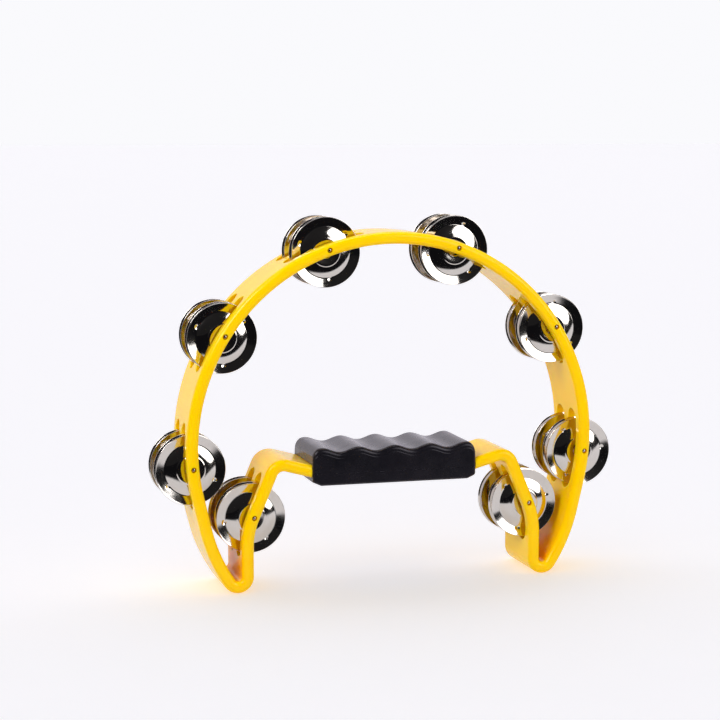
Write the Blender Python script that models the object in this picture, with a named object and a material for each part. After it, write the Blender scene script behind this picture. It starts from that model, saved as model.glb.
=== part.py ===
"""Half-moon tambourine: a moulded frame with a hand grip, eight pins and sixteen pairs of jingles.

+X runs along the handle, +Y is the depth and +Z is up. The origin lies on the ground between the feet.
"""
import math

import bmesh
import bpy
from mathutils import Matrix, Vector

MM = 0.001

# Frame band, in millimetres
RING_RADIUS = 118.0
BAND_THICKNESS = 7.0
BAND_DEPTH = 43.8
BAND_EDGE_RADIUS = 2.9
FOOT_BEND_RADIUS = 5.7
LEG_BEND_RADIUS = 97.5
KNEE_RADIUS = 45.0
SHOULDER_RADIUS = 7.5
GRIP_ENTRY_RADIUS = 20.0

# Headings of the band's half outline, in degrees
RING_END_ANGLE = 103.0
FOOT_ENTRY_ANGLE = 123.5
LEG_LEAN = 23.0
BAR_SLOPE = 15.3

# Straight stretches of the half outline, in millimetres
RING_TO_LEG_RUN = 18.9
FOOT_TO_KNEE_RUN = 16.4
KNEE_TO_SHOULDER_RUN = 26.9
SHOULDER_TO_GRIP_RUN = 17.9

# Jingle stations: three pairs on the ring, in degrees from the top, and one pair on the legs
RING_STATIONS = (19.0, 57.0, 95.0)
ROW_OFFSET = 9.1
SLOT_WIDTH = 11.4
SLOT_HALF_LENGTH = 24.0
PIN_RADIUS = 1.2
PIN_HOLE_RADIUS = 1.5
PIN_LENGTH = 43.0
PIN_DOME = ((0.0, 0.55), (0.35, 0.85), (0.8, 1.0))

# Jingle disc
DISC_RADIUS = 20.2
DISC_SHEET = 0.6
DISC_BORE_RADIUS = 3.2
DISC_DOME_RADIUS = 7.6
DISC_VALLEY_RADIUS = 14.5
DISC_DOME_HEIGHT = 2.4
DISC_RIM_HEIGHT = 0.85
PAIR_HALF_GAP = 1.3
DISC_DROP = 1.64

# Where each pair rests along its pin, front row and rear row, from the left foot clockwise
PAIR_SHIFTS = (
    (0.3, 0.2), (0.5, 0.2), (-0.2, 0.4), (0.1, -0.3),
    (-0.6, -0.5), (-0.4, -0.8), (1.0, 1.1), (0.2, 0.6),
)

# Hand grip
GRIP_HALF_LENGTH = 49.0
GRIP_HALF_DEPTH = 22.9
GRIP_TOP = 80.4
GRIP_BOTTOM = 60.0
GROOVE_PITCH = 21.6
GROOVE_AMPLITUDE = 1.3
GRIP_END_RADIUS = 4.0
GRIP_END_CHAMFER = (5.0, 2.2)
GRIP_EDGE_CHAMFER = 0.9
GRIP_WALL = 2.4
GRIP_CORNER_RADIUS = 1.4
SCREW_OFFSET = 30.0
SCREW_RADIUS = 1.5
SCREW_HEAD_RADIUS = 3.0
SCREW_HEAD_HEIGHT = 1.8
SCREW_HEAD_CROWN = 0.5
SCREW_POINT_LENGTH = 1.5
SCREW_TOP = 76.0
BOSS_HALF_WIDTH = 4.5
POCKET_HALF_DEPTH = 17.0
POCKET_END_WALL = 3.4
GAP = 0.3

# Facets, and how far the cutters reach past the surfaces they cut
ROUND_SIDES = 16
DISC_SIDES = 20
SLOT_END_PIECES = 5
SLOT_CUT_REACH = 9.0
CUT_MARGIN = 1.0
GRIP_TOP_STEPS = 40
BAR_ROOM_EDGE = 0.6


def clear_scene():
    for old in list(bpy.data.objects):
        bpy.data.objects.remove(old, do_unlink=True)


def material(name, colour, roughness, metallic):
    made = bpy.data.materials.new(name)
    made.use_nodes = True
    shader = made.node_tree.nodes["Principled BSDF"]
    shader.inputs["Base Color"].default_value = (*colour, 1.0)
    shader.inputs["Roughness"].default_value = roughness
    shader.inputs["Metallic"].default_value = metallic
    return made


def mesh_object(name, bm, finish=None, smooth_angle=35.0):
    bmesh.ops.recalc_face_normals(bm, faces=bm.faces)
    mesh = bpy.data.meshes.new(name)
    bm.to_mesh(mesh)
    bm.free()
    mesh.shade_smooth()
    mesh.set_sharp_from_angle(angle=math.radians(smooth_angle))
    made = bpy.data.objects.new(name, mesh)
    bpy.context.scene.collection.objects.link(made)
    if finish is not None:
        mesh.materials.append(finish)
    return made


def cut(target, cutter):
    """Subtract a cutter from a target and hide the cutter."""
    cutter.hide_render = True
    cutter.display_type = "WIRE"
    modifier = target.modifiers.new("cut_" + cutter.name, "BOOLEAN")
    modifier.operation = "DIFFERENCE"
    modifier.solver = "EXACT"
    modifier.object = cutter


class Walker:
    """Walks an outline in the XZ plane and keeps (x, z, heading) samples. Headings turn clockwise from +X."""

    def __init__(self, x, z, heading):
        self.x, self.z, self.heading = x, z, heading
        self.samples = [(x, z, heading)]

    def step(self, length):
        angle = math.radians(self.heading)
        self.x += length * math.cos(angle)
        self.z -= length * math.sin(angle)

    def run(self, length):
        self.step(length)
        self.samples.append((self.x, self.z, self.heading))

    def turn(self, radius, angle, pieces):
        """Follow an arc. A positive angle turns clockwise."""
        part = angle / pieces
        chord = 2.0 * radius * math.sin(math.radians(abs(part)) / 2.0)
        for _ in range(pieces):
            self.heading += part / 2.0
            self.step(chord)
            self.heading += part / 2.0
            self.samples.append((self.x, self.z, self.heading))


def half_outline():
    """The band's centreline on the +X side, from the top of the ring to the handle.

    Returns its samples, the jingle station on the leg and the sample where the grip begins.
    """
    walker = Walker(0.0, 0.0, 0.0)
    walker.turn(RING_RADIUS, RING_END_ANGLE, 17)
    walker.run(RING_TO_LEG_RUN)
    walker.turn(LEG_BEND_RADIUS, FOOT_ENTRY_ANGLE - RING_END_ANGLE, 3)
    walker.turn(FOOT_BEND_RADIUS, 270.0 - FOOT_ENTRY_ANGLE, 8)
    walker.run(FOOT_TO_KNEE_RUN)
    walker.turn(KNEE_RADIUS, -LEG_LEAN, 3)
    knee_end = walker.samples[-1]
    walker.run(KNEE_TO_SHOULDER_RUN)
    walker.turn(SHOULDER_RADIUS, LEG_LEAN - 90.0 - BAR_SLOPE, 5)
    walker.run(SHOULDER_TO_GRIP_RUN)
    grip_entry = len(walker.samples) - 1
    walker.turn(GRIP_ENTRY_RADIUS, BAR_SLOPE, 2)
    lowest = min(z for _, z, _ in walker.samples)
    lift = BAND_THICKNESS / 2.0 - lowest
    samples = [(x, z + lift, heading) for x, z, heading in walker.samples]
    knee = (knee_end[0], knee_end[1] + lift, knee_end[2])
    return samples, knee, grip_entry


def band_section(half_thickness, half_depth, edge_radius, pieces):
    """Rounded rectangle of (offset from the centreline, depth) points, running round once."""
    corners = (
        (half_thickness - edge_radius, half_depth - edge_radius, 0.0),
        (-half_thickness + edge_radius, half_depth - edge_radius, 90.0),
        (-half_thickness + edge_radius, -half_depth + edge_radius, 180.0),
        (half_thickness - edge_radius, -half_depth + edge_radius, 270.0),
    )
    points = []
    for centre_offset, centre_depth, start in corners:
        for piece in range(pieces + 1):
            angle = math.radians(start + 90.0 * piece / pieces)
            offset = centre_offset + edge_radius * math.cos(angle)
            depth = centre_depth + edge_radius * math.sin(angle)
            points.append((offset, depth))
    return points


def sweep(samples, section, closed):
    """Sweep a section along outline samples and return the bmesh, in metres."""
    bm = bmesh.new()
    rings = []
    for x, z, heading in samples:
        angle = math.radians(heading)
        ring = []
        for offset, depth in section:
            place = Vector((x + offset * math.sin(angle), depth, z + offset * math.cos(angle)))
            ring.append(bm.verts.new(place * MM))
        rings.append(ring)
    pairs = list(zip(rings, rings[1:]))
    if closed:
        pairs.append((rings[-1], rings[0]))
    count = len(section)
    for ring, following in pairs:
        for i in range(count):
            j = (i + 1) % count
            bm.faces.new((ring[i], ring[j], following[j], following[i]))
    if not closed:
        bm.faces.new(rings[0])
        bm.faces.new(list(reversed(rings[-1])))
    return bm


def cylinder_bmesh(radius, start, end, sides):
    """A cylinder between two points, in millimetres."""
    axis = Vector(end) - Vector(start)
    middle = (Vector(start) + Vector(end)) / 2.0
    turn = axis.to_track_quat("Z", "Y").to_matrix().to_4x4()
    bm = bmesh.new()
    bmesh.ops.create_cone(
        bm, cap_ends=True, segments=sides, radius1=radius * MM, radius2=radius * MM,
        depth=axis.length * MM, matrix=Matrix.Translation(middle * MM) @ turn,
    )
    return bm


def box_bmesh(low, high):
    """A box between two corners, in millimetres."""
    low, high = Vector(low), Vector(high)
    size = (high - low) * MM
    place = Matrix.Translation((low + high) / 2.0 * MM) @ Matrix.Diagonal((*size, 1.0))
    bm = bmesh.new()
    bmesh.ops.create_cube(bm, size=1.0, matrix=place)
    return bm


def stations(ring_centre, knee):
    """Jingle stations as (x, z, heading), clockwise from the left leg to the right leg."""
    right = []
    for angle in RING_STATIONS:
        turned = math.radians(angle)
        right.append((RING_RADIUS * math.sin(turned), ring_centre + RING_RADIUS * math.cos(turned), angle))
    right.append(knee)
    left = [(-x, z, -heading) for x, z, heading in reversed(right)]
    return left + right


def slot_cutter(name, station, row):
    """A long slot with round ends, square through the band at a station."""
    x, z, heading = station
    angle = math.radians(heading)
    along = Vector((math.cos(angle), 0.0, -math.sin(angle)))
    outward = Vector((math.sin(angle), 0.0, math.cos(angle)))
    centre = Vector((x, row, z))
    end_radius = SLOT_WIDTH / 2.0
    straight = SLOT_HALF_LENGTH - end_radius
    bm = bmesh.new()
    outline = []
    for side in (1.0, -1.0):
        for piece in range(SLOT_END_PIECES + 1):
            bend = math.radians(-90.0 + 180.0 * piece / SLOT_END_PIECES)
            run = side * (straight + end_radius * math.cos(bend))
            depth = side * end_radius * math.sin(bend)
            outline.append((run, depth))
    layers = []
    for reach in (-SLOT_CUT_REACH, SLOT_CUT_REACH):
        layer = []
        for run, depth in outline:
            place = centre + along * run + outward * reach + Vector((0.0, depth, 0.0))
            layer.append(bm.verts.new(place * MM))
        layers.append(layer)
    bm.faces.new(layers[0])
    bm.faces.new(list(reversed(layers[1])))
    count = len(outline)
    for i in range(count):
        j = (i + 1) % count
        bm.faces.new((layers[0][i], layers[0][j], layers[1][j], layers[1][i]))
    return mesh_object(name, bm)


def make_frame(samples, places, finish):
    """The moulded band: one closed loop round the ring, both feet, both legs and the handle bar."""
    loop = samples + [(-x, z, -heading) for x, z, heading in reversed(samples[1:])]
    section = band_section(BAND_THICKNESS / 2.0, BAND_DEPTH / 2.0, BAND_EDGE_RADIUS, 2)
    frame = mesh_object("frame", sweep(loop, section, closed=True), finish)
    for number, station in enumerate(places, start=1):
        for row_name, row in (("front", -ROW_OFFSET), ("rear", ROW_OFFSET)):
            cut(frame, slot_cutter(f"slot_cutter_{number}_{row_name}", station, row))
        x, z, _ = station
        reach = BAND_DEPTH / 2.0 + CUT_MARGIN
        bore = cylinder_bmesh(PIN_HOLE_RADIUS, (x, -reach, z), (x, reach, z), ROUND_SIDES)
        cut(frame, mesh_object(f"pin_hole_cutter_{number}", bore))
    for side_name, side in (("front", -1.0), ("rear", 1.0)):
        near = side * bar_half_depth()
        far = side * BAND_DEPTH
        low = (-GRIP_HALF_LENGTH - GAP, min(near, far), GRIP_BOTTOM)
        high = (GRIP_HALF_LENGTH + GAP, max(near, far), GRIP_TOP)
        cut(frame, mesh_object(f"bar_relief_cutter_{side_name}", box_bmesh(low, high)))
    for side_name, side in (("left", -1.0), ("right", 1.0)):
        x = side * SCREW_OFFSET
        hole = cylinder_bmesh(SCREW_RADIUS + GAP, (x, 0.0, GRIP_BOTTOM), (x, 0.0, GRIP_TOP), ROUND_SIDES)
        cut(frame, mesh_object(f"bar_hole_cutter_{side_name}", hole))
    return frame


def bar_half_depth():
    """Half the depth of the handle bar where it is slimmed to pass inside the grip's walls."""
    return GRIP_HALF_DEPTH - GRIP_WALL - GAP


def make_pin(name, station, finish):
    """A steel pin with a domed end, across the whole depth of the band."""
    x, z, _ = station
    bm = bmesh.new()
    half = PIN_LENGTH / 2.0
    rings = []
    profile = [(-half + inset, share) for inset, share in PIN_DOME]
    profile += [(half - inset, share) for inset, share in reversed(PIN_DOME)]
    for y, share in profile:
        ring = []
        for side in range(ROUND_SIDES):
            angle = math.tau * side / ROUND_SIDES
            radius = PIN_RADIUS * share
            ring.append(bm.verts.new(Vector((radius * math.cos(angle), y, radius * math.sin(angle))) * MM))
        rings.append(ring)
    for ring, following in zip(rings, rings[1:]):
        for i in range(ROUND_SIDES):
            j = (i + 1) % ROUND_SIDES
            bm.faces.new((ring[i], ring[j], following[j], following[i]))
    bm.faces.new(rings[0])
    bm.faces.new(list(reversed(rings[-1])))
    pin = mesh_object(name, bm, finish)
    pin.location = Vector((x, 0.0, z)) * MM
    return pin


def disc_mesh(facing, finish):
    """A pressed disc round the Y axis: flat dome, sloping ring, valley and upturned rim.

    Its valley lies at Y = 0 and its dome bulges along the sign of facing. The disc hangs below the pin
    axis that passes through its origin.
    """
    stations_inner = (
        (DISC_BORE_RADIUS, DISC_DOME_HEIGHT),
        (DISC_DOME_RADIUS, DISC_DOME_HEIGHT),
        (DISC_VALLEY_RADIUS, 0.0),
        (DISC_RADIUS, DISC_RIM_HEIGHT),
    )
    profile = list(stations_inner)
    profile += [(radius, height + DISC_SHEET) for radius, height in reversed(stations_inner)]
    bm = bmesh.new()
    rings = []
    for radius, height in profile:
        ring = []
        for side in range(DISC_SIDES):
            angle = math.tau * side / DISC_SIDES
            place = Vector((radius * math.cos(angle), facing * height, radius * math.sin(angle) - DISC_DROP))
            ring.append(bm.verts.new(place * MM))
        rings.append(ring)
    for ring, following in zip(rings, rings[1:] + rings[:1]):
        for i in range(DISC_SIDES):
            j = (i + 1) % DISC_SIDES
            bm.faces.new((ring[i], ring[j], following[j], following[i]))
    bmesh.ops.recalc_face_normals(bm, faces=bm.faces)
    mesh = bpy.data.meshes.new("jingle_disc")
    bm.to_mesh(mesh)
    bm.free()
    mesh.shade_smooth()
    mesh.set_sharp_from_angle(angle=math.radians(35.0))
    mesh.materials.append(finish)
    return mesh


def make_jingles(places, finish):
    """Two rows of jingle pairs: in each pair the two discs' domes face away from each other."""
    meshes = {"a": disc_mesh(-1.0, finish), "b": disc_mesh(1.0, finish)}
    for number, (station, shifts) in enumerate(zip(places, PAIR_SHIFTS), start=1):
        x, z, _ = station
        for row_name, row, shift in (("front", -ROW_OFFSET, shifts[0]), ("rear", ROW_OFFSET, shifts[1])):
            for disc_name, facing in (("a", -1.0), ("b", 1.0)):
                disc = bpy.data.objects.new(f"jingle_{number}_{row_name}_{disc_name}", meshes[disc_name])
                bpy.context.scene.collection.objects.link(disc)
                disc.location = Vector((x, row + shift + facing * PAIR_HALF_GAP, z)) * MM


def grip_top_height(x):
    """Height of the grip's top: finger grooves between crests, and rounded ends."""
    wave = GRIP_TOP + GROOVE_AMPLITUDE * math.cos(math.tau * x / GROOVE_PITCH)
    inset = abs(x) - (GRIP_HALF_LENGTH - GRIP_END_RADIUS)
    if inset > 0.0:
        wave -= GRIP_END_RADIUS - math.sqrt(max(GRIP_END_RADIUS ** 2 - inset ** 2, 0.0))
    return wave


def grip_shell_bmesh(outline):
    """Extrude an XZ outline across the grip's depth, with bevelled long edges."""
    bm = bmesh.new()
    front = [bm.verts.new(Vector((x, -GRIP_HALF_DEPTH, z)) * MM) for x, z in outline]
    face = bm.faces.new(front)
    made = bmesh.ops.extrude_face_region(bm, geom=[face])
    moved = [item for item in made["geom"] if isinstance(item, bmesh.types.BMVert)]
    bmesh.ops.translate(bm, verts=moved, vec=Vector((0.0, 2.0 * GRIP_HALF_DEPTH, 0.0)) * MM)
    return bm


def make_grip_upper(split, clearance, finish):
    """The waved upper shell, hollow above the bar, with two bosses for the screws."""
    outline = [(-GRIP_HALF_LENGTH, split), (GRIP_HALF_LENGTH, split)]
    for step in range(GRIP_TOP_STEPS + 1):
        share = 1.0 - 2.0 * step / GRIP_TOP_STEPS
        x = GRIP_HALF_LENGTH * share
        outline.append((x, grip_top_height(x)))
    shell = mesh_object("grip_upper", grip_shell_bmesh(outline), finish)
    bevel = shell.modifiers.new("edge_round", "BEVEL")
    bevel.width = GRIP_CORNER_RADIUS * MM
    bevel.segments = 2
    bevel.limit_method = "ANGLE"
    bevel.angle_limit = math.radians(60.0)
    cut(shell, clearance)
    ceiling = GRIP_TOP - GROOVE_AMPLITUDE - GRIP_WALL
    pocket_spans = (
        ("left", -GRIP_HALF_LENGTH + POCKET_END_WALL, -SCREW_OFFSET - BOSS_HALF_WIDTH),
        ("middle", -SCREW_OFFSET + BOSS_HALF_WIDTH, SCREW_OFFSET - BOSS_HALF_WIDTH),
        ("right", SCREW_OFFSET + BOSS_HALF_WIDTH, GRIP_HALF_LENGTH - POCKET_END_WALL),
    )
    for pocket_name, low_x, high_x in pocket_spans:
        low = (low_x, -POCKET_HALF_DEPTH, split)
        high = (high_x, POCKET_HALF_DEPTH, ceiling)
        cut(shell, mesh_object(f"pocket_cutter_{pocket_name}", box_bmesh(low, high)))
    for side_name, side in (("left", -1.0), ("right", 1.0)):
        x = side * SCREW_OFFSET
        low, high = (x, 0.0, split - CUT_MARGIN), (x, 0.0, SCREW_TOP + GAP)
        hole = cylinder_bmesh(SCREW_RADIUS + GAP, low, high, ROUND_SIDES)
        cut(shell, mesh_object(f"boss_hole_cutter_{side_name}", hole))
    return shell


def make_grip_lower(split, clearance, finish):
    """The flat lower shell, chamfered at its ends, with two recesses for the screw heads."""
    chamfer_x, chamfer_z = GRIP_END_CHAMFER
    outline = [
        (GRIP_HALF_LENGTH, split - GAP),
        (-GRIP_HALF_LENGTH, split - GAP),
        (-GRIP_HALF_LENGTH, GRIP_BOTTOM + chamfer_z),
        (-GRIP_HALF_LENGTH + chamfer_x, GRIP_BOTTOM),
        (GRIP_HALF_LENGTH - chamfer_x, GRIP_BOTTOM),
        (GRIP_HALF_LENGTH, GRIP_BOTTOM + chamfer_z),
    ]
    bm = grip_shell_bmesh(outline)
    bottom = (GRIP_BOTTOM + GAP) * MM
    edges = [e for e in bm.edges if abs(e.verts[0].co.y - e.verts[1].co.y) < MM and e.verts[0].co.z < bottom]
    edges = [e for e in edges if e.verts[1].co.z < bottom]
    bmesh.ops.bevel(bm, geom=edges, offset=GRIP_EDGE_CHAMFER * MM, segments=1, affect="EDGES")
    shell = mesh_object("grip_lower", bm, finish)
    cut(shell, clearance)
    for side_name, side in (("left", -1.0), ("right", 1.0)):
        x = side * SCREW_OFFSET
        below = (x, 0.0, GRIP_BOTTOM - CUT_MARGIN)
        hole = cylinder_bmesh(SCREW_RADIUS + GAP, below, (x, 0.0, split), ROUND_SIDES)
        cut(shell, mesh_object(f"shell_hole_cutter_{side_name}", hole))
        seat = (x, 0.0, GRIP_BOTTOM + SCREW_HEAD_HEIGHT + GAP)
        recess = cylinder_bmesh(SCREW_HEAD_RADIUS + GAP, below, seat, ROUND_SIDES)
        cut(shell, mesh_object(f"head_recess_cutter_{side_name}", recess))
    return shell


def make_screw(name, x, finish):
    """A pan-head screw that points up through the lower shell and the bar into the upper shell."""
    profile = (
        (SCREW_HEAD_RADIUS * 0.8, 0.0),
        (SCREW_HEAD_RADIUS, SCREW_HEAD_CROWN),
        (SCREW_HEAD_RADIUS, SCREW_HEAD_HEIGHT),
        (SCREW_RADIUS, SCREW_HEAD_HEIGHT),
        (SCREW_RADIUS, SCREW_TOP - GRIP_BOTTOM - SCREW_POINT_LENGTH),
        (SCREW_RADIUS * 0.4, SCREW_TOP - GRIP_BOTTOM),
    )
    bm = bmesh.new()
    rings = []
    for radius, z in profile:
        ring = []
        for side in range(ROUND_SIDES):
            angle = math.tau * side / ROUND_SIDES
            ring.append(bm.verts.new(Vector((radius * math.cos(angle), radius * math.sin(angle), z)) * MM))
        rings.append(ring)
    for ring, following in zip(rings, rings[1:]):
        for i in range(ROUND_SIDES):
            j = (i + 1) % ROUND_SIDES
            bm.faces.new((ring[i], ring[j], following[j], following[i]))
    bm.faces.new(rings[0])
    bm.faces.new(list(reversed(rings[-1])))
    screw = mesh_object(name, bm, finish)
    screw.location = Vector((x, 0.0, GRIP_BOTTOM)) * MM
    return screw


def main():
    clear_scene()
    yellow = material("frame_yellow", (0.95, 0.62, 0.01), 0.25, 0.0)
    black = material("grip_black", (0.02, 0.02, 0.025), 0.4, 0.0)
    nickel = material("jingle_nickel", (0.75, 0.74, 0.72), 0.12, 1.0)
    steel = material("pin_steel", (0.6, 0.6, 0.62), 0.25, 1.0)
    samples, knee, grip_entry = half_outline()
    places = stations(samples[0][1] - RING_RADIUS, knee)
    make_frame(samples, places, yellow)
    for number, station in enumerate(places, start=1):
        make_pin(f"pin_{number}", station, steel)
    make_jingles(places, nickel)

    split = samples[-1][1]
    bar = samples[grip_entry - 1:]
    bar_path = bar + [(-x, z, -heading) for x, z, heading in reversed(bar)]
    bar_room = band_section(BAND_THICKNESS / 2.0 + GAP, bar_half_depth() + GAP, BAR_ROOM_EDGE, 1)
    clearance = mesh_object("bar_room_cutter", sweep(bar_path, bar_room, closed=False))
    make_grip_upper(split, clearance, black)
    make_grip_lower(split, clearance, black)
    for side_name, side in (("left", -1.0), ("right", 1.0)):
        make_screw(f"grip_screw_{side_name}", side * SCREW_OFFSET, steel)


main()
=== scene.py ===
"""Looks of the half-moon tambourine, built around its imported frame, in a pale studio."""

import math

import bmesh
import bpy
from mathutils import Matrix, Vector


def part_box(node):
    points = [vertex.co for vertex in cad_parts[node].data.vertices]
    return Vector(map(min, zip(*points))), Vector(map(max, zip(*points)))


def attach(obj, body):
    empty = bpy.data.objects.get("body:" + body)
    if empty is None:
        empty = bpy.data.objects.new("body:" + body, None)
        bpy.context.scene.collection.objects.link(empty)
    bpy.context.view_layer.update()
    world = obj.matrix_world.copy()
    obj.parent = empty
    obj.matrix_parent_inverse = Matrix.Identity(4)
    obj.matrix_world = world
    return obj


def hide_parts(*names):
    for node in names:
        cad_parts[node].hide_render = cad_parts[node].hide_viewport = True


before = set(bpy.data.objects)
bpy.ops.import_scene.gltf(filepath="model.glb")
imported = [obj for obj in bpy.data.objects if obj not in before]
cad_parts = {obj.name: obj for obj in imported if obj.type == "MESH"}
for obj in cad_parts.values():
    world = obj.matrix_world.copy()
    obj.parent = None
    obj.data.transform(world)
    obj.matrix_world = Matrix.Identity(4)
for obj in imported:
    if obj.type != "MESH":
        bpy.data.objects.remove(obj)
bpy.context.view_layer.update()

MM = 0.001

# Band outline, in millimetres and degrees. Headings turn clockwise from +X.
BAND_THICKNESS = 7.0
BAND_DEPTH = 43.8
BAND_EDGE_RADIUS = 2.9
RING_RADIUS = 118.0
RING_END_ANGLE = 103.0
RING_TO_LEG_RUN = 18.9
LEG_BEND = (97.5, 20.5)
FOOT_BEND = (5.7, 146.5)
FOOT_TO_KNEE_RUN = 16.4
KNEE_BEND = (45.0, -23.0)
KNEE_TO_SHOULDER_RUN = 26.9
SHOULDER_BEND = (7.5, -82.3)
SHOULDER_TO_GRIP_RUN = 17.9
GRIP_ENTRY_BEND = (20.0, 15.3)

# Slots and pins
RING_STATIONS = (-95.0, -57.0, -19.0, 19.0, 57.0, 95.0)
ROW_OFFSET = 9.1
SLOT_WIDTH = 11.4
SLOT_HALF_LENGTH = 24.5
SLOT_MOUTH = 0.55
SLOT_END_PIECES = 10
SLOT_SIDE_PIECES = 16
PIN_RADIUS = 1.2
PIN_HALF_LENGTH = 21.1
PIN_DOME = 0.75
PIN_HOLE_RADIUS = 1.5
PIN_HOLE_MOUTH = 0.2

# Jingle disc. Slopes are in degrees.
DISC_RADIUS = 20.2
DISC_SHEET = 0.5
DISC_SIDES = 168
RIM_CURL_WIDTH = 0.9
RIM_CURL = 0.12
DISH_STEP = 0.30
DISH_DEPTH = 0.25
DISC_BORE = 3.2
DOME_RADIUS = 8.6
CONE_END = 14.6
FLANGE_START = 15.1
CONE_SLOPES = (6.0, 27.0)
FLANGE_SLOPE = 13.5
VALLEY_HEIGHT = 0.02
DENT_RADIUS = 1.35
DENT_DEPTH = 0.42
DENT_CIRCLE = 15.7

# Grip. The relief is what is cut off each side of the handle bar inside it.
GRIP_HALF_LENGTH = 49.0
GRIP_HALF_DEPTH = 22.9
GRIP_TOP = 80.4
GRIP_BOTTOM = 60.0
GROOVE_PITCH = 21.6
GROOVE_AMPLITUDE = 1.3
GRIP_END_RADIUS = 4.2
GRIP_FILLET = 2.6
GRIP_LIP = 0.22
GRIP_CORNER = 1.5
GRIP_END_CHAMFER = (5.0, 2.2)
SHELL_GAP = 0.06
BAR_HALF_DEPTH = 20.5
RELIEF_DEPTH = 9.5
RELIEF_HEIGHT = 16.0
BAR_ROOM = 0.3
SCREW_OFFSET = 30.0
SCREW_POCKET = (3.35, 4.4)  # radius and length, half of it inside the shell
SCREW_HOLE = (1.8, 40.0)

# Studio. Lengths are in metres, and AHEAD is the level direction in which the mirrored paper ends.
FLOOR_GLOW = 0.41
PAPER_REACH = 0.20
PAPER_REACH_FADE = 0.03
PAPER_MIRRORED = 0.88
AHEAD = (-0.284, -0.959, 0.0)


# ---------------------------------------------------------------- nodes

def new_material(name):
    made = bpy.data.materials.new(name)
    made.use_nodes = True
    shader = made.node_tree.nodes["Principled BSDF"]
    return made, made.node_tree, shader


def add_node(tree, kind, **values):
    made = tree.nodes.new(kind)
    for key, value in values.items():
        if key in made.inputs:
            made.inputs[key].default_value = value
        else:
            setattr(made, key, value)
    return made


def noise(tree, coordinates, scale, detail=3.0, roughness=0.5):
    made = add_node(tree, "ShaderNodeTexNoise")
    made.inputs["Scale"].default_value = scale
    made.inputs["Detail"].default_value = detail
    made.inputs["Roughness"].default_value = roughness
    tree.links.new(coordinates, made.inputs["Vector"])
    return made.outputs["Fac"]


def ranged(tree, value, low, high, from_low=0.3, from_high=0.7):
    made = add_node(tree, "ShaderNodeMapRange")
    made.inputs["From Min"].default_value = from_low
    made.inputs["From Max"].default_value = from_high
    made.inputs["To Min"].default_value = low
    made.inputs["To Max"].default_value = high
    tree.links.new(value, made.inputs["Value"])
    return made.outputs["Result"]


def mixed_colour(tree, factor, first, second):
    """A colour between two others, each a plain colour or another node's output."""
    made = add_node(tree, "ShaderNodeMix", data_type="RGBA")
    tree.links.new(factor, made.inputs["Factor"])
    sockets = [socket for socket in made.inputs if socket.type == "RGBA"]
    for socket, colour in zip(sockets, (first, second)):
        if isinstance(colour, bpy.types.NodeSocket):
            tree.links.new(colour, socket)
        else:
            socket.default_value = (*colour, 1.0)
    return [socket for socket in made.outputs if socket.type == "RGBA"][0]


def bumped(tree, shader, height, strength, distance):
    made = add_node(tree, "ShaderNodeBump")
    made.inputs["Strength"].default_value = strength
    made.inputs["Distance"].default_value = distance
    tree.links.new(height, made.inputs["Height"])
    tree.links.new(made.outputs["Normal"], shader.inputs["Normal"])


def object_coordinates(tree):
    return add_node(tree, "ShaderNodeTexCoord").outputs["Object"]


# ---------------------------------------------------------------- materials

def yellow_plastic():
    """Glossy moulded ABS: even warm yellow with a faint orange-peel skin, and a painted shade of deeper
    orange in its recesses, where light bounces between the band's own walls.
    """
    made, tree, shader = new_material("yellow_plastic")
    where = object_coordinates(tree)
    tint = ranged(tree, noise(tree, where, 18.0, 4.0), 0.0, 1.0)
    colour = mixed_colour(tree, tint, (1.0, 0.595, 0.0), (1.0, 0.61, 0.0))
    # Painted shade: the colour deepens to orange wherever the band's own walls close round a point, as in the
    # slots and inside the feet.
    recess_shade = add_node(tree, "ShaderNodeAmbientOcclusion", samples=4, only_local=True)
    recess_shade.inputs["Distance"].default_value = 0.03
    depth = ranged(tree, recess_shade.outputs["AO"], 1.0, 0.0, 0.25, 0.75)
    colour = mixed_colour(tree, depth, colour, (1.0, 0.50, 0.0))
    tree.links.new(colour, shader.inputs["Base Color"])
    gloss = ranged(tree, noise(tree, where, 90.0, 6.0, 0.6), 0.13, 0.24)
    tree.links.new(gloss, shader.inputs["Roughness"])
    shader.inputs["IOR"].default_value = 1.53
    shader.inputs["Specular IOR Level"].default_value = 0.18
    shader.inputs["Subsurface Weight"].default_value = 0.5
    shader.inputs["Subsurface Radius"].default_value = (1.0, 0.5, 0.05)
    shader.inputs["Subsurface Scale"].default_value = 0.006
    bumped(tree, shader, noise(tree, where, 420.0, 2.0), 0.08, 0.0002)
    return made


def black_plastic():
    """Satin black plastic with a fine moulded grain."""
    made, tree, shader = new_material("black_plastic")
    where = object_coordinates(tree)
    tint = ranged(tree, noise(tree, where, 60.0, 4.0), 0.0, 1.0)
    colour = mixed_colour(tree, tint, (0.004, 0.004, 0.006), (0.007, 0.006, 0.009))
    tree.links.new(colour, shader.inputs["Base Color"])
    gloss = ranged(tree, noise(tree, where, 150.0, 5.0, 0.6), 0.20, 0.30)
    tree.links.new(gloss, shader.inputs["Roughness"])
    shader.inputs["IOR"].default_value = 1.5
    shader.inputs["Specular IOR Level"].default_value = 0.3
    shader.inputs["Specular Tint"].default_value = (0.96, 0.90, 1.0, 1.0)
    shader.inputs["Sheen Weight"].default_value = 0.2
    shader.inputs["Sheen Roughness"].default_value = 0.4
    shader.inputs["Sheen Tint"].default_value = (0.86, 0.77, 1.0, 1.0)
    bumped(tree, shader, noise(tree, where, 2600.0, 3.0, 0.6), 0.05, 0.0001)
    return made


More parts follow.
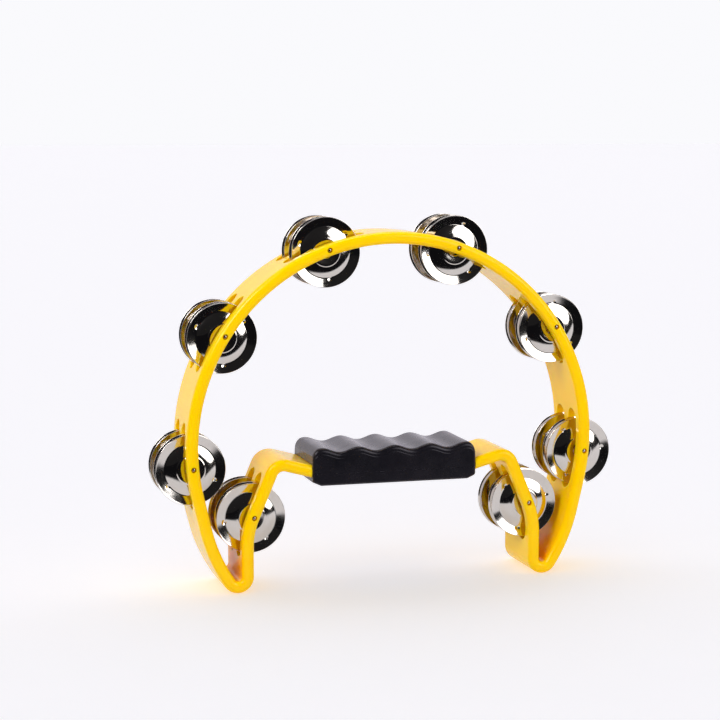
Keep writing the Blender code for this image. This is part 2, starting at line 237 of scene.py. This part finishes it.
def nickel():
    """Polished nickel plate with faint turning marks, small pits and thin handling smears."""
    made, tree, shader = new_material("nickel_plate")
    where = object_coordinates(tree)
    shader.inputs["Metallic"].default_value = 1.0
    tint = ranged(tree, noise(tree, where, 120.0, 5.0, 0.6), 0.0, 1.0)
    colour = mixed_colour(tree, tint, (0.69, 0.65, 0.61), (0.76, 0.72, 0.68))
    tree.links.new(colour, shader.inputs["Base Color"])
    gloss = ranged(tree, noise(tree, where, 70.0, 6.0, 0.65), 0.05, 0.13)
    tree.links.new(gloss, shader.inputs["Roughness"])
    split = add_node(tree, "ShaderNodeSeparateXYZ")
    tree.links.new(where, split.inputs["Vector"])
    flat = add_node(tree, "ShaderNodeCombineXYZ")
    tree.links.new(split.outputs["X"], flat.inputs["X"])
    tree.links.new(split.outputs["Z"], flat.inputs["Z"])
    radius = add_node(tree, "ShaderNodeVectorMath", operation="LENGTH")
    tree.links.new(flat.outputs["Vector"], radius.inputs[0])
    lines = add_node(tree, "ShaderNodeTexNoise", noise_dimensions="1D")
    lines.inputs["Scale"].default_value = 2200.0
    lines.inputs["Detail"].default_value = 2.0
    tree.links.new(radius.outputs["Value"], lines.inputs["W"])
    bumped(tree, shader, lines.outputs["Fac"], 0.10, 0.00004)
    return made


def bright_steel(name, dark, light):
    """Drawn steel with lengthwise marks."""
    made, tree, shader = new_material(name)
    where = object_coordinates(tree)
    shader.inputs["Metallic"].default_value = 1.0
    tint = ranged(tree, noise(tree, where, 900.0, 4.0, 0.6), 0.0, 1.0)
    tree.links.new(mixed_colour(tree, tint, dark, light), shader.inputs["Base Color"])
    gloss = ranged(tree, noise(tree, where, 600.0, 4.0), 0.08, 0.18)
    tree.links.new(gloss, shader.inputs["Roughness"])
    bumped(tree, shader, noise(tree, where, 1500.0, 3.0), 0.15, 0.00005)
    return made


# ---------------------------------------------------------------- mesh helpers

def object_from(name, bm, finish, recalc=True):
    """Turn a bmesh into a smooth-shaded object."""
    if recalc:
        bmesh.ops.recalc_face_normals(bm, faces=bm.faces)
    mesh = bpy.data.meshes.new(name)
    bm.to_mesh(mesh)
    bm.free()
    made = bpy.data.objects.new(name, mesh)
    bpy.context.scene.collection.objects.link(made)
    if finish is not None:
        mesh.materials.append(finish)
    mesh.shade_smooth()
    mesh.set_sharp_from_angle(angle=math.radians(38.0))
    return made


def bridge(bm, ring, following):
    """Join two rings of the same number of vertices with quads."""
    count = len(ring)
    for i in range(count):
        j = (i + 1) % count
        bm.faces.new((ring[i], ring[j], following[j], following[i]))


def loft(rings, looped=False):
    """Join rings of points, in millimetres, into a bmesh in metres, capped unless it closes on itself."""
    bm = bmesh.new()
    made = [[bm.verts.new(Vector(point) * MM) for point in ring] for ring in rings]
    for ring, following in zip(made, made[1:]):
        bridge(bm, ring, following)
    if looped:
        bridge(bm, made[-1], made[0])
    else:
        bm.faces.new(made[0])
        bm.faces.new(list(reversed(made[-1])))
    return bm


def subtract(target, cutter):
    """Cut a cutter out of a target and delete the cutter."""
    modifier = target.modifiers.new("cut", "BOOLEAN")
    modifier.operation = "DIFFERENCE"
    modifier.solver = "EXACT"
    modifier.object = cutter
    apply_modifiers(target)
    bpy.data.objects.remove(cutter, do_unlink=True)


def apply_modifiers(target):
    graph = bpy.context.evaluated_depsgraph_get()
    result = bpy.data.meshes.new_from_object(target.evaluated_get(graph))
    old = target.data
    target.modifiers.clear()
    target.data = result
    bpy.data.meshes.remove(old)


def even_normals(target):
    """Let large flat faces keep their direction beside small rounded edges."""
    modifier = target.modifiers.new("even_normals", "WEIGHTED_NORMAL")
    modifier.keep_sharp = True
    modifier.weight = 60
    apply_modifiers(target)


def rounded_rectangle(half_width, half_height, radius, pieces):
    """(width, height) points of a rounded rectangle."""
    points = []
    for quarter, (x_side, y_side) in enumerate(((1, 1), (-1, 1), (-1, -1), (1, -1))):
        for piece in range(pieces + 1):
            angle = math.radians(90.0 * quarter + 90.0 * piece / pieces)
            x = x_side * (half_width - radius) + radius * math.cos(angle)
            y = y_side * (half_height - radius) + radius * math.sin(angle)
            points.append((x, y))
    return points


# ---------------------------------------------------------------- the band's path

class BandPath:
    """The band's closed centreline. Distance 0 is the top of the ring and grows towards +X."""

    def __init__(self, ring_radius):
        self.parts = []
        self.marks = {}
        self.state = (0.0, 0.0, 0.0)
        self.length = 0.0
        self.turn(ring_radius, RING_END_ANGLE, 1.5)
        self.run(RING_TO_LEG_RUN)
        self.turn(*LEG_BEND, 1.5)
        self.turn(*FOOT_BEND, 6.0)
        self.run(FOOT_TO_KNEE_RUN)
        self.turn(*KNEE_BEND, 2.5)
        self.marks["knee"] = self.length
        self.run(KNEE_TO_SHOULDER_RUN)
        self.turn(*SHOULDER_BEND, 6.0)
        self.run(SHOULDER_TO_GRIP_RUN)
        self.turn(*GRIP_ENTRY_BEND, 3.0)
        self.run(self.state[0])
        self.lift = BAND_THICKNESS / 2.0 - min(self.half_point(s)[1] for s in self.foot_distances())

    def run(self, length):
        self.add(length, None, 0.0, 0.0)

    def turn(self, radius, angle, facet):
        self.add(math.radians(abs(angle)) * radius, radius, angle, facet)

    def add(self, length, radius, angle, facet):
        self.parts.append((self.length, length, radius, angle, facet, self.state))
        self.state = self.walk(self.parts[-1], length)
        self.length += length

    @staticmethod
    def walk(part, distance):
        _, length, radius, angle, _, (x, z, heading) = part
        turned = angle * distance / length if length else 0.0
        chord = distance
        if radius:
            chord = 2.0 * radius * math.sin(math.radians(abs(turned)) / 2.0)
        middle = math.radians(heading + turned / 2.0)
        return (x + chord * math.cos(middle), z - chord * math.sin(middle), heading + turned)

    def half_point(self, distance):
        for part in self.parts:
            if distance <= part[0] + part[1]:
                return self.walk(part, distance - part[0])
        return self.walk(self.parts[-1], self.parts[-1][1])

    def foot_distances(self):
        start, length = self.parts[3][0], self.parts[3][1]
        return [start + length * step / 200.0 for step in range(201)]

    def point(self, distance):
        """(x, z, heading) at a signed distance from the top of the ring."""
        x, z, heading = self.half_point(abs(distance))
        if distance < 0.0:
            x, heading = -x, -heading
        return x, z + self.lift, heading

    def place(self, distance, depth, offset):
        """The point at a distance along the path, a depth and an offset outwards, in millimetres."""
        x, z, heading = self.point(distance)
        angle = math.radians(heading)
        return Vector((x + offset * math.sin(angle), depth, z + offset * math.cos(angle)))

    def cuts(self):
        """Distances, on the +X side, where the band needs a fresh facet."""
        found = []
        for start, length, radius, angle, facet, _ in self.parts:
            pieces = max(1, math.ceil(abs(angle) / facet)) if radius else 1
            found += [start + length * piece / pieces for piece in range(pieces)]
        return found


path = BandPath(RING_RADIUS)
HALF_DEPTH = BAND_DEPTH / 2.0
HALF_THICKNESS = BAND_THICKNESS / 2.0
SPLIT = path.point(path.length)[1]


def station_distances():
    """Path distance of each jingle station, from the left leg clockwise to the right leg."""
    ring = [math.radians(angle) * RING_RADIUS for angle in RING_STATIONS]
    return [-path.marks["knee"], *ring, path.marks["knee"]]


# ---------------------------------------------------------------- frame band

def slot_outline():
    """(run, depth) points round a slot, with the outward direction at each."""
    end_radius = SLOT_WIDTH / 2.0
    straight = SLOT_HALF_LENGTH - end_radius
    points = []
    for side in (1.0, -1.0):
        for piece in range(SLOT_END_PIECES + 1):
            bend = math.radians(-90.0 + 180.0 * piece / SLOT_END_PIECES)
            way = (side * math.cos(bend), side * math.sin(bend))
            points.append((side * straight + end_radius * way[0], end_radius * way[1], way))
        for piece in range(1, SLOT_SIDE_PIECES):
            run = side * straight * (1.0 - 2.0 * piece / SLOT_SIDE_PIECES)
            points.append((run, side * end_radius, (0.0, side)))
    return points


def close_slot(bm, ring):
    """Close a slot's outline with strips across it, so that the cap bends with the band."""
    count = len(ring)
    first = SLOT_END_PIECES // 2
    for i in range(first, first + count // 2):
        across = (SLOT_END_PIECES - i) % count
        corners = (ring[i], ring[i + 1], ring[(across - 1) % count], ring[across])
        bm.faces.new(list(dict.fromkeys(corners)))


def flared_layers(mouth, reach, pieces=5):
    """(offset, growth) layers through the band for a cutter that leaves rounded mouths."""
    layers = [(reach + 1.2, mouth)]
    for piece in range(pieces + 1):
        depth = mouth * piece / pieces
        layers.append((reach - depth, mouth - math.sqrt(max(mouth ** 2 - (mouth - depth) ** 2, 0.0))))
    return layers + [(-offset, growth) for offset, growth in reversed(layers)]


def slot_cutters():
    """All sixteen slots as one cutter that follows the band."""
    bm = bmesh.new()
    outline = slot_outline()
    layers = flared_layers(SLOT_MOUTH, HALF_THICKNESS)
    for distance in station_distances():
        for row in (-ROW_OFFSET, ROW_OFFSET):
            rings = []
            for offset, growth in layers:
                ring = []
                for run, depth, way in outline:
                    along = distance + run + growth * way[0]
                    across = row + depth + growth * way[1]
                    ring.append(bm.verts.new(path.place(along, across, offset) * MM))
                rings.append(ring)
            for ring, following in zip(rings, rings[1:]):
                bridge(bm, ring, following)
            close_slot(bm, rings[0])
            close_slot(bm, rings[-1])
    return object_from("slot_cutters", bm, None)


def bore_cutters():
    """All eight pin bores as one cutter, opened a little at both ends."""
    bm = bmesh.new()
    for distance in station_distances():
        x, z, _ = path.point(distance)
        profile = [(-HALF_DEPTH - 1.0, PIN_HOLE_RADIUS + PIN_HOLE_MOUTH + 0.5)]
        profile += [(-HALF_DEPTH + PIN_HOLE_MOUTH * 1.6, PIN_HOLE_RADIUS)]
        profile += [(-y, radius) for y, radius in reversed(profile)]
        rings = []
        for y, radius in profile:
            ring = []
            for side in range(32):
                angle = math.tau * side / 32
                place = Vector((x + radius * math.cos(angle), y, z + radius * math.sin(angle)))
                ring.append(bm.verts.new(place * MM))
            rings.append(ring)
        for ring, following in zip(rings, rings[1:]):
            bridge(bm, ring, following)
        bm.faces.new(rings[0])
        bm.faces.new(list(reversed(rings[-1])))
    return object_from("bore_cutters", bm, None)


def relief_cutters():
    """Slims the handle bar where it passes inside the grip."""
    bm = bmesh.new()
    size = Vector((2.0 * (GRIP_HALF_LENGTH + BAR_ROOM), RELIEF_DEPTH, RELIEF_HEIGHT)) * MM
    for side in (-1.0, 1.0):
        middle = Vector((0.0, side * (BAR_HALF_DEPTH + RELIEF_DEPTH / 2.0), SPLIT)) * MM
        bmesh.ops.create_cube(bm, size=1.0, matrix=Matrix.Translation(middle) @ Matrix.Diagonal((*size, 1.0)))
    return object_from("relief_cutters", bm, None)


def make_band(finish):
    """The moulded band in one loop, with every slot and bore cut and every edge rounded."""
    right = path.cuts() + [path.length]
    loop = right + [-distance for distance in reversed(right[1:-1])]
    section = rounded_rectangle(HALF_THICKNESS, HALF_DEPTH, BAND_EDGE_RADIUS, 7)
    rings = [[path.place(distance, depth, offset) for offset, depth in section] for distance in loop]
    band = object_from("frame_band", loft(rings, looped=True), finish)
    subtract(band, relief_cutters())
    subtract(band, slot_cutters())
    subtract(band, bore_cutters())
    band.data.shade_smooth()
    band.data.set_sharp_from_angle(angle=math.radians(38.0))
    even_normals(band)
    return band


# ---------------------------------------------------------------- jingles

def smooth_step(value):
    value = min(max(value, 0.0), 1.0)
    return value * value * (3.0 - 2.0 * value)


def disc_height(radius):
    """Height of the pressed sheet's inner side over its valley: flange, curved skirt and dished crown."""
    flange = math.tan(math.radians(FLANGE_SLOPE))
    if radius >= FLANGE_START:
        curl = max(0.0, radius - (DISC_RADIUS - RIM_CURL_WIDTH))
        return VALLEY_HEIGHT + (radius - FLANGE_START) * flange + RIM_CURL * curl * curl
    if radius >= CONE_END:
        return VALLEY_HEIGHT * (radius - CONE_END) / (FLANGE_START - CONE_END)
    near, far = (math.tan(math.radians(slope)) for slope in CONE_SLOPES)
    width = CONE_END - DOME_RADIUS
    run = max(radius, DOME_RADIUS) - DOME_RADIUS
    height = near * (width - run) + (far - near) * (width ** 2 - run ** 2) / (2.0 * width)
    if radius < DOME_RADIUS:
        height += DISH_STEP * smooth_step((DOME_RADIUS - radius) / 0.8)
        height -= DISH_DEPTH * smooth_step((DOME_RADIUS - 0.9 - radius) / (DOME_RADIUS - 0.9 - DISC_BORE))
    return height


def spread(start, end, step):
    count = max(1, math.ceil((end - start) / step))
    return [start + (end - start) * i / count for i in range(count)]


def disc_radii():
    marks = spread(DISC_BORE, DOME_RADIUS - 0.7, 0.7) + spread(DOME_RADIUS - 0.7, DOME_RADIUS, 0.12)
    marks += spread(DOME_RADIUS, CONE_END - 0.1, 0.7) + [CONE_END - 0.1, CONE_END, CONE_END + 0.12]
    marks += [FLANGE_START - 0.08] + spread(FLANGE_START, DISC_RADIUS - RIM_CURL_WIDTH, 0.34)
    marks += spread(DISC_RADIUS - RIM_CURL_WIDTH, DISC_RADIUS - 0.25, 0.16)
    return marks + [DISC_RADIUS - 0.25]


def disc_profile():
    """(radius, height) points once round the sheet's section: inner side, rolled rim, outer side."""
    radii = disc_radii()
    inner = [(radius, disc_height(radius)) for radius in radii]
    outer = [(radius, height + DISC_SHEET) for radius, height in inner]
    rim_radius, rim_height = inner[-1][0], (inner[-1][1] + outer[-1][1]) / 2.0
    roll = DISC_SHEET / 2.0
    rolled = []
    for piece in range(1, 8):
        angle = math.radians(-90.0 + 180.0 * piece / 8.0)
        rolled.append((rim_radius + roll * math.cos(angle), rim_height + roll * math.sin(angle)))
    bore = [(DISC_BORE - 0.12, disc_height(DISC_BORE) + DISC_SHEET * share) for share in (0.8, 0.2)]
    return inner + rolled + list(reversed(outer)) + bore


def make_disc(name, facing, spin, wobble, finish):
    """One pressed disc round the Y axis, with three punched dimples and a slightly uneven edge."""
    profile = disc_profile()
    verts = []
    for radius, height in profile:
        edge = smooth_step((radius - 12.0) / 8.0)
        for side in range(DISC_SIDES):
            angle = math.tau * side / DISC_SIDES
            lift = height + wobble[0] * edge * math.cos(2.0 * angle + wobble[1])
            lift += 0.4 * wobble[0] * edge * math.cos(3.0 * angle + wobble[2])
            for dent in range(3):
                dent_angle = math.tau * dent / 3.0
                dx = radius * math.cos(angle) - DENT_CIRCLE * math.cos(dent_angle)
                dz = radius * math.sin(angle) - DENT_CIRCLE * math.sin(dent_angle)
                reach = math.hypot(dx, dz) / DENT_RADIUS
                if reach < 1.0:
                    lift -= DENT_DEPTH * (1.0 - smooth_step((reach - 0.25) / 0.75))
            verts.append((radius * math.cos(angle) * MM, -lift * MM, radius * math.sin(angle) * MM))
    faces = []
    count = len(profile)
    for row in range(count):
        following = (row + 1) % count
        for side in range(DISC_SIDES):
            beside = (side + 1) % DISC_SIDES
            faces.append((row * DISC_SIDES + side, row * DISC_SIDES + beside,
                          following * DISC_SIDES + beside, following * DISC_SIDES + side))
    mesh = bpy.data.meshes.new(name)
    mesh.from_pydata(verts, [], faces)
    bm = bmesh.new()
    bm.from_mesh(mesh)
    bmesh.ops.recalc_face_normals(bm, faces=bm.faces)
    bm.to_mesh(mesh)
    bm.free()
    mesh.materials.append(finish)
    mesh.shade_smooth()
    mesh.set_sharp_from_angle(angle=math.radians(50.0))
    disc = bpy.data.objects.new(name, mesh)
    bpy.context.scene.collection.objects.link(disc)
    turn = Matrix.Rotation(math.radians(-spin), 4, "Y")
    if facing > 0.0:
        turn = Matrix.Rotation(math.pi, 4, "Z") @ turn
    mesh.transform(turn)
    return disc


def place_disc(disc, node, facing, tilt):
    """Put a disc where its CAD node is, leaning a little on its pin."""
    low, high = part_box(node)
    middle = (Vector(low) + Vector(high)) / 2.0
    valley = low[1] if facing > 0.0 else high[1]
    lean = Matrix.Rotation(math.radians(tilt[0]), 4, "X") @ Matrix.Rotation(math.radians(tilt[1]), 4, "Z")
    disc.matrix_world = Matrix.Translation((middle[0], valley, middle[2])) @ lean


# Spins of the front row's outer discs, from the left leg clockwise, in degrees
FRONT_SPINS = (67.0, 95.0, 35.0, 41.0, 68.0, 84.0, 125.0, 18.0)


def make_jingles(finish):
    for number in range(1, 9):
        for row in ("front", "rear"):
            for letter, facing in (("a", -1.0), ("b", 1.0)):
                key = number * 4 + (2 if row == "rear" else 0) + (1 if letter == "b" else 0)
                if row == "front" and letter == "a":
                    spin = FRONT_SPINS[number - 1]
                else:
                    spin = (key * 73.0) % 120.0
                wobble = (0.03 + 0.02 * math.sin(key * 1.7), key * 2.1, key * 3.3)
                tilt = (0.3 * math.sin(key * 2.9), 0.3 * math.sin(key * 4.7 + 1.0))
                node = f"jingle_{number}_{row}_{letter}"
                disc = make_disc(f"disc_{number}_{row}_{letter}", facing, spin, wobble, finish)
                place_disc(disc, node, facing, tilt)
                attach(disc, node)
                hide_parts(node)


# ---------------------------------------------------------------- pins and screws

def lathe(name, profile, sides, finish, axis="Y"):
    """Turn (radius, height) points, in millimetres, round an axis."""
    bm = bmesh.new()
    rings = []
    for radius, height in profile:
        ring = []
        for side in range(sides):
            angle = math.tau * side / sides
            flat = (radius * math.cos(angle), radius * math.sin(angle))
            point = (flat[0], height, flat[1]) if axis == "Y" else (flat[0], flat[1], height)
            ring.append(bm.verts.new(Vector(point) * MM))
        rings.append(ring)
    for ring, following in zip(rings, rings[1:]):
        bridge(bm, ring, following)
    bm.faces.new(rings[0])
    bm.faces.new(list(reversed(rings[-1])))
    return object_from(name, bm, finish)


def make_pins(finish):
    """Steel pins with domed ends just inside the band's rims."""
    dome = []
    for degrees in range(0, 86, 9):
        angle = math.radians(degrees)
        dome.append((PIN_RADIUS * math.cos(angle), PIN_HALF_LENGTH + PIN_DOME * (math.sin(angle) - 1.0)))
    profile = [(radius, -y) for radius, y in reversed(dome)] + dome
    for number, distance in enumerate(station_distances(), start=1):
        x, z, _ = path.point(distance)
        pin = lathe(f"pin_{number}_steel", profile, 32, finish)
        pin.location = Vector((x, 0.0, z)) * MM
        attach(pin, "body")
        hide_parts(f"pin_{number}")


def make_screws(finish):
    """Pan-head screws with a cross recess, seen from below the grip."""
    profile = [(0.6, 16.0), (1.5, 14.5), (1.5, 1.8)]
    profile += [(3.0, 1.8), (3.0, 0.7), (2.86, 0.35), (2.6, 0.12), (2.2, 0.0)]
    for side_name, side in (("left", -1.0), ("right", 1.0)):
        screw = lathe(f"screw_{side_name}", profile, 32, finish, axis="Z")
        for arm, size in enumerate(((3.2, 0.62, 2.2), (0.62, 3.2, 2.2))):
            bm = bmesh.new()
            bmesh.ops.create_cube(bm, size=1.0, matrix=Matrix.Diagonal((*(edge * MM for edge in size), 1.0)))
            subtract(screw, object_from(f"recess_{side_name}_{arm}", bm, None))
        screw.location = Vector((side * SCREW_OFFSET, 0.0, GRIP_BOTTOM)) * MM
        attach(screw, "body")
        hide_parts(f"grip_screw_{side_name}")


# ---------------------------------------------------------------- grip

def grip_top(x):
    height = GRIP_TOP + GROOVE_AMPLITUDE * math.cos(math.tau * x / GROOVE_PITCH)
    inset = abs(x) - (GRIP_HALF_LENGTH - GRIP_END_RADIUS)
    if inset > 0.0:
        height -= GRIP_END_RADIUS - math.sqrt(max(GRIP_END_RADIUS ** 2 - inset ** 2, 0.0))
    return height


def grip_bottom(x):
    length, rise = GRIP_END_CHAMFER
    return GRIP_BOTTOM + max(0.0, abs(x) - (GRIP_HALF_LENGTH - length)) * rise / length


def grip_half_depth(x):
    inset = abs(x) - (GRIP_HALF_LENGTH - GRIP_CORNER)
    if inset <= 0.0:
        return GRIP_HALF_DEPTH
    return GRIP_HALF_DEPTH - GRIP_CORNER + math.sqrt(max(GRIP_CORNER ** 2 - inset ** 2, 0.0))


def grip_stations():
    """X stations along the grip, closer together where its ends round off."""
    round_start, corner_start = GRIP_HALF_LENGTH - GRIP_END_RADIUS, GRIP_HALF_LENGTH - GRIP_CORNER
    marks = [round_start + GRIP_END_RADIUS * math.sin(math.radians(a)) for a in range(0, 79, 6)]
    marks += [corner_start + GRIP_CORNER * math.sin(math.radians(a)) for a in range(0, 91, 10)]
    marks += [GRIP_HALF_LENGTH - GRIP_END_CHAMFER[0]]
    ends = sorted(set(round(x, 3) for x in marks))
    middle = [ends[0] * (1.0 - 2.0 * step / 124.0) for step in range(1, 124)]
    return [-x for x in reversed(ends)] + list(reversed(middle)) + ends


def upper_section(x):
    """(depth, height) points of the upper shell at one station, with a small lip under its rounded edge."""
    half, top = grip_half_depth(x), grip_top(x)
    fillet = min(GRIP_FILLET, top - SPLIT - 3.0)
    ledge = top - fillet - 0.9
    inner = half - GRIP_LIP
    points = [(half - 0.1, SPLIT), (half, SPLIT + 0.1), (half, ledge - 0.35)]
    points += [(half - 0.3 * GRIP_LIP, ledge - 0.1), (half - 0.8 * GRIP_LIP, ledge), (inner, ledge + 0.12)]
    for piece in range(11):
        angle = math.radians(90.0 * piece / 10.0)
        points.append((inner - fillet + fillet * math.cos(angle), top - fillet + fillet * math.sin(angle)))
    for share in (0.7, 0.35):
        points.append(((inner - fillet) * share, top))
    return points + [(-y, z) for y, z in reversed(points)]


def lower_section(x):
    """(depth, height) points of the lower shell at one station, chamfered along its bottom edges."""
    half, bottom = grip_half_depth(x), grip_bottom(x)
    top = SPLIT - SHELL_GAP
    points = [(half - 0.1, top), (half, top - 0.1), (half, bottom + 1.05), (half - 0.05, bottom + 0.93)]
    points += [(half - 0.85, bottom + 0.08), (half - 0.98, bottom)]
    return points + [(-y, z) for y, z in reversed(points)]


def bar_room_cutter():
    """Room for the handle bar, a little larger than the bar itself."""
    bend_start, bend_length = path.parts[-2][:2]
    right = [path.parts[-1][0] - 16.0] + [bend_start + bend_length * piece / 5.0 for piece in range(6)]
    way = right + [-distance for distance in reversed(right)]
    section = rounded_rectangle(HALF_THICKNESS + BAR_ROOM, BAR_HALF_DEPTH + BAR_ROOM, 0.6, 3)
    rings = [[path.place(distance, depth, offset) for offset, depth in section] for distance in way]
    return object_from("bar_room_cutter", loft(rings), None)


def make_grip(finish):
    """Both shells of the grip round the handle bar."""
    for name, node, section in (("grip_upper_shell", "grip_upper", upper_section),
                                ("grip_lower_shell", "grip_lower", lower_section)):
        rings = [[(x, y, z) for y, z in section(x)] for x in grip_stations()]
        shell = object_from(name, loft(rings), finish)
        subtract(shell, bar_room_cutter())
        if node == "grip_lower":
            for radius, depth in (SCREW_POCKET, SCREW_HOLE):
                bm = bmesh.new()
                for side in (-SCREW_OFFSET, SCREW_OFFSET):
                    bmesh.ops.create_cone(
                        bm, cap_ends=True, segments=40, radius1=radius * MM, radius2=radius * MM,
                        depth=depth * MM, matrix=Matrix.Translation(Vector((side, 0.0, GRIP_BOTTOM)) * MM))
                subtract(shell, object_from("screw_cutters", bm, None))
        shell.data.shade_smooth()
        shell.data.set_sharp_from_angle(angle=math.radians(42.0))
        even_normals(shell)
        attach(shell, "body")
        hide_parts(node)


# ---------------------------------------------------------------- assembly

yellow = yellow_plastic()
band = make_band(yellow)
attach(band, "body")
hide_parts("frame")
make_grip(black_plastic())
make_pins(bright_steel("pin_steel_finish", (0.38, 0.37, 0.38), (0.52, 0.50, 0.50)))
make_screws(bright_steel("screw_steel_finish", (0.28, 0.28, 0.29), (0.42, 0.42, 0.43)))
make_jingles(nickel())


# ---------------------------------------------------------------- studio

def area_light(name, place, target, shape, size, energy):
    data = bpy.data.lights.new(name, "AREA")
    data.shape = shape
    data.size = size[0]
    data.size_y = size[1]
    data.energy = energy
    light = bpy.data.objects.new(name, data)
    bpy.context.scene.collection.objects.link(light)
    way = Vector(target) - Vector(place)
    light.matrix_world = Matrix.Translation(place) @ way.to_track_quat("-Z", "Y").to_matrix().to_4x4()
    return light


def make_floor():
    """Evenly lit pale paper. In front of the object it ends in the dark room that the metal mirrors."""
    bm = bmesh.new()
    bmesh.ops.create_grid(bm, x_segments=2, y_segments=2, size=30.0)
    made, tree, shader = new_material("studio_paper")
    where = object_coordinates(tree)
    tint = ranged(tree, noise(tree, where, 40.0, 4.0), 0.0, 1.0)
    colour = mixed_colour(tree, tint, (0.90, 0.90, 0.91), (0.91, 0.91, 0.92))
    tree.links.new(colour, shader.inputs["Base Color"])
    shader.inputs["Roughness"].default_value = 0.75
    shader.inputs["Specular IOR Level"].default_value = 0.1
    shader.inputs["Emission Color"].default_value = (1.0, 1.0, 1.04, 1.0)
    shader.inputs["Emission Strength"].default_value = FLOOR_GLOW
    ahead = add_node(tree, "ShaderNodeVectorMath", operation="DOT_PRODUCT")
    ahead.inputs[1].default_value = AHEAD
    tree.links.new(where, ahead.inputs[0])
    far_edge = PAPER_REACH + PAPER_REACH_FADE
    mirrored = ranged(tree, ahead.outputs["Value"], PAPER_MIRRORED, 0.0, PAPER_REACH, far_edge)
    dark = add_node(tree, "ShaderNodeBsdfDiffuse")
    dark.inputs["Color"].default_value = (0.01, 0.01, 0.012, 1.0)
    ray = add_node(tree, "ShaderNodeLightPath")
    seen_directly = add_node(tree, "ShaderNodeMath", operation="SUBTRACT")
    seen_directly.inputs[0].default_value = 1.0
    tree.links.new(ray.outputs["Is Glossy Ray"], seen_directly.inputs[1])
    shown = add_node(tree, "ShaderNodeMath", operation="MAXIMUM")
    tree.links.new(seen_directly.outputs[0], shown.inputs[0])
    tree.links.new(mirrored, shown.inputs[1])
    mix = add_node(tree, "ShaderNodeMixShader")
    tree.links.new(shown.outputs[0], mix.inputs[0])
    tree.links.new(dark.outputs[0], mix.inputs[1])
    tree.links.new(shader.outputs[0], mix.inputs[2])
    tree.links.new(mix.outputs[0], tree.nodes["Material Output"].inputs["Surface"])
    floor = object_from("studio_floor", bm, made, recalc=False)
    return floor


def make_world():
    """A white sweep behind the object and a dark room in front of it, which the metal mirrors."""
    world = bpy.data.worlds.new("studio")
    bpy.context.scene.world = world
    world.use_nodes = True
    tree = world.node_tree
    tree.nodes.clear()
    seen = add_node(tree, "ShaderNodeBackground")
    seen.inputs["Color"].default_value = (0.955, 0.955, 0.98, 1.0)
    way = add_node(tree, "ShaderNodeTexCoord")
    split = add_node(tree, "ShaderNodeSeparateXYZ")
    tree.links.new(way.outputs["Generated"], split.inputs["Vector"])
    sweep = ranged(tree, split.outputs["Y"], 0.015, 0.9, 0.0, 0.35)
    room = add_node(tree, "ShaderNodeBackground")
    room.inputs["Color"].default_value = (0.97, 0.94, 1.0, 1.0)
    tree.links.new(sweep, room.inputs["Strength"])
    ray = add_node(tree, "ShaderNodeLightPath")
    mix = add_node(tree, "ShaderNodeMixShader")
    out = add_node(tree, "ShaderNodeOutputWorld")
    tree.links.new(ray.outputs["Is Camera Ray"], mix.inputs[0])
    tree.links.new(room.outputs["Background"], mix.inputs[1])
    tree.links.new(seen.outputs["Background"], mix.inputs[2])
    tree.links.new(mix.outputs[0], out.inputs["Surface"])


def lit_only(light, *objects):
    """Keep a light to these objects."""
    group = bpy.data.collections.new(light.name + "_receivers")
    for item in objects:
        group.objects.link(item)
    light.light_linking.receiver_collection = group


floor = make_floor()
make_world()
toy = [item for item in bpy.data.objects if item.type == "MESH" and item is not floor]
for name, place, shape, size, energy in (
        ("softbox_right", (1.07, -1.20, 0.742), "DISK", (1.42, 1.42), 16.0),
        ("softbox_left", (-1.097, -0.768, 1.147), "RECTANGLE", (0.8, 0.8), 20.0),
        ("softbox_top", (0.1, 0.2, 1.5), "RECTANGLE", (1.0, 0.7), 6.0)):
    lit_only(area_light(name, place, (0.0, 0.0, 0.1), shape, size, energy), *toy)

sky_data = bpy.data.lights.new("ceiling_bounce", "SUN")
sky_data.energy = 0.8
sky_data.angle = math.radians(70.0)
sky = bpy.data.objects.new("ceiling_bounce", sky_data)
bpy.context.scene.collection.objects.link(sky)
sky.matrix_world = Vector((0.35, 0.3, -1.0)).to_track_quat("-Z", "Y").to_matrix().to_4x4()
lit_only(sky, floor)

camera_data = bpy.data.cameras.new("camera")
camera_data.lens = 94.34
camera_data.sensor_width = 36.0
camera_data.clip_end = 60.0
camera = bpy.data.objects.new("camera", camera_data)
bpy.context.scene.collection.objects.link(camera)
camera.location = (-0.3109, -1.0490, 0.2624)
camera.rotation_euler = (math.radians(83.02), 0.0, math.radians(-15.76))
bpy.context.scene.camera = camera
bpy.context.scene.view_settings.view_transform = "Standard"
